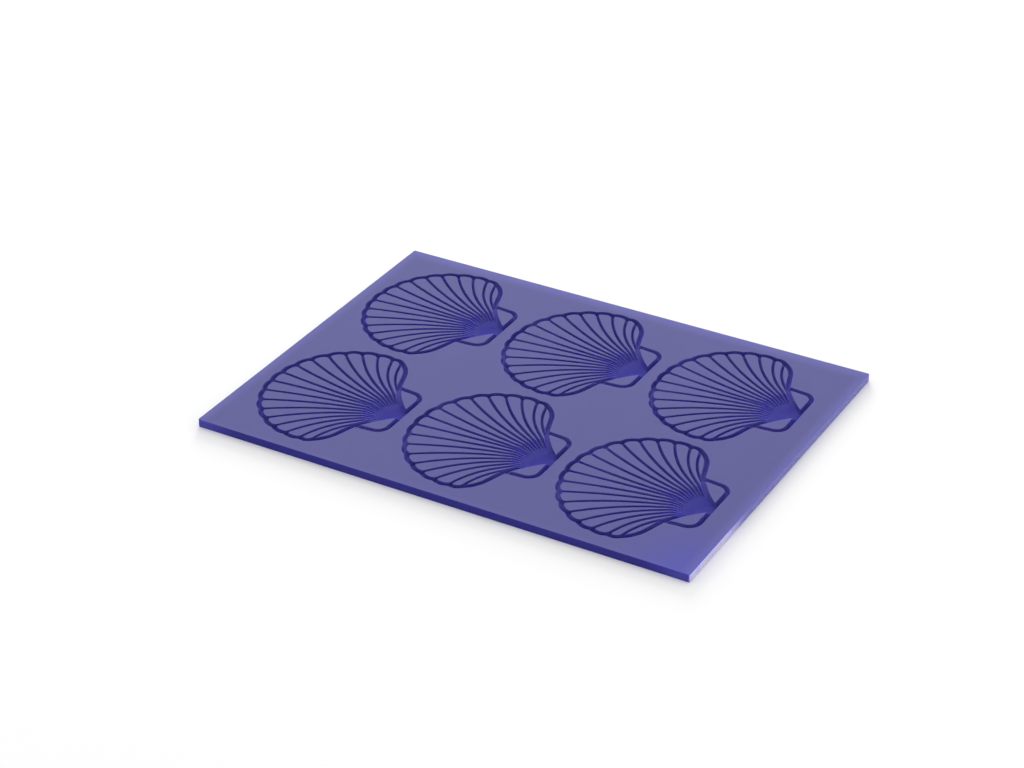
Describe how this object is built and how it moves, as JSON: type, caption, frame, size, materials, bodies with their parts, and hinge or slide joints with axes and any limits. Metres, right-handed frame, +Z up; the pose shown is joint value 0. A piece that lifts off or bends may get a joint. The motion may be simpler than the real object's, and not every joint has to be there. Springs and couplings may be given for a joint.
{
  "type": "tuile mold",
  "caption": "Thin flexible baking mat with shallow scallop shell line recesses in its top face for shaping lace biscuits, lying on a flat underside.",
  "frame": {"origin": "middle of the flat underside, at the height of the surface that the mat lies on", "axes": "+X along the long side, towards the side that the hinge lines of the shells face; +Y along the short side; +Z up, out of the face with the recesses"},
  "size_m": [0.2, 0.15, 0.0032],
  "materials": {
    "silicone": "satin blue-violet silicone"
  },
  "bodies": {
    "root": {"silicone_mat": "silicone"}
  },
  "joints": []
}
